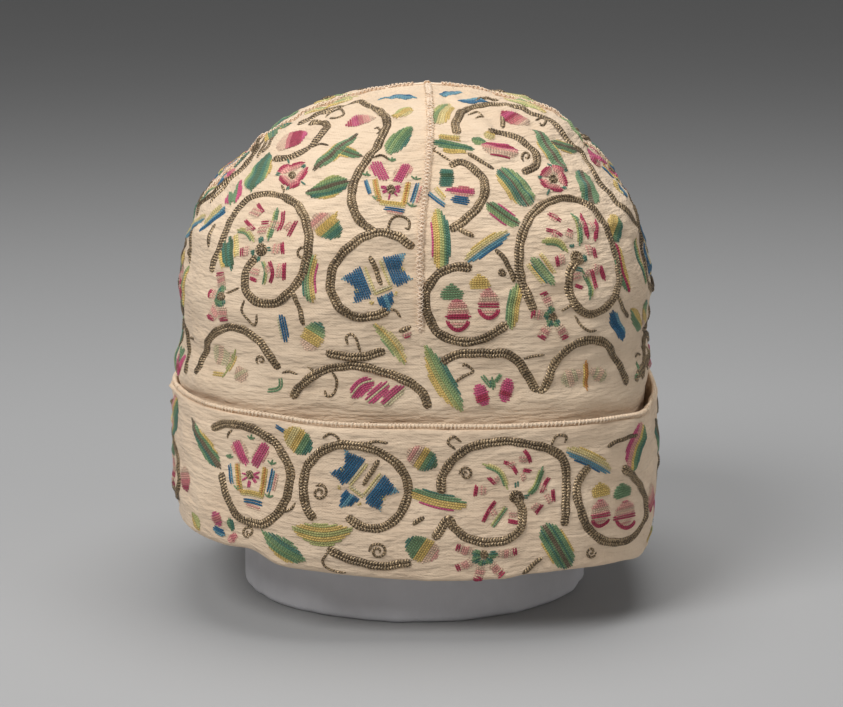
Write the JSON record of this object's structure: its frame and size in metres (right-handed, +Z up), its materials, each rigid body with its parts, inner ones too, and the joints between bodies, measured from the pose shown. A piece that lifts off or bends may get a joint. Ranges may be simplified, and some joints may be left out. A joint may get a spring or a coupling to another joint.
{
  "type": "embroidered cap on a round display stand",
  "caption": "Domed linen cap of seamed gores with coiling metal-thread stems and silk flowers, its lower edge turned up as a deep cuff, on a round cloth-covered stand.",
  "frame": {"origin": "centre of the stand's foot, on the surface that it rests on", "axes": "+Z up, -Y towards the front of the cap, +X to the right of someone facing the front"},
  "size_m": [0.202, 0.197, 0.212],
  "materials": {
    "crown_linen": "matt plain-weave cream linen",
    "cuff_linen": "matt plain-weave cream linen",
    "edging_thread": "whipped linen thread",
    "seam_thread": "insertion stitches in linen thread",
    "metal_thread": "plaited silver-gilt thread, tarnished",
    "silk_thread": "coloured silk in close stitches, slight sheen",
    "stand_cloth": "plain pale grey cotton"
  },
  "bodies": {
    "root": {"crown": "crown_linen", "cuff": "cuff_linen", "cuff_edging": "edging_thread", "seam_front_back": "seam_thread", "seam_left": "seam_thread", "seam_right": "seam_thread", "display_stand": "stand_cloth"}
  },
  "joints": []
}
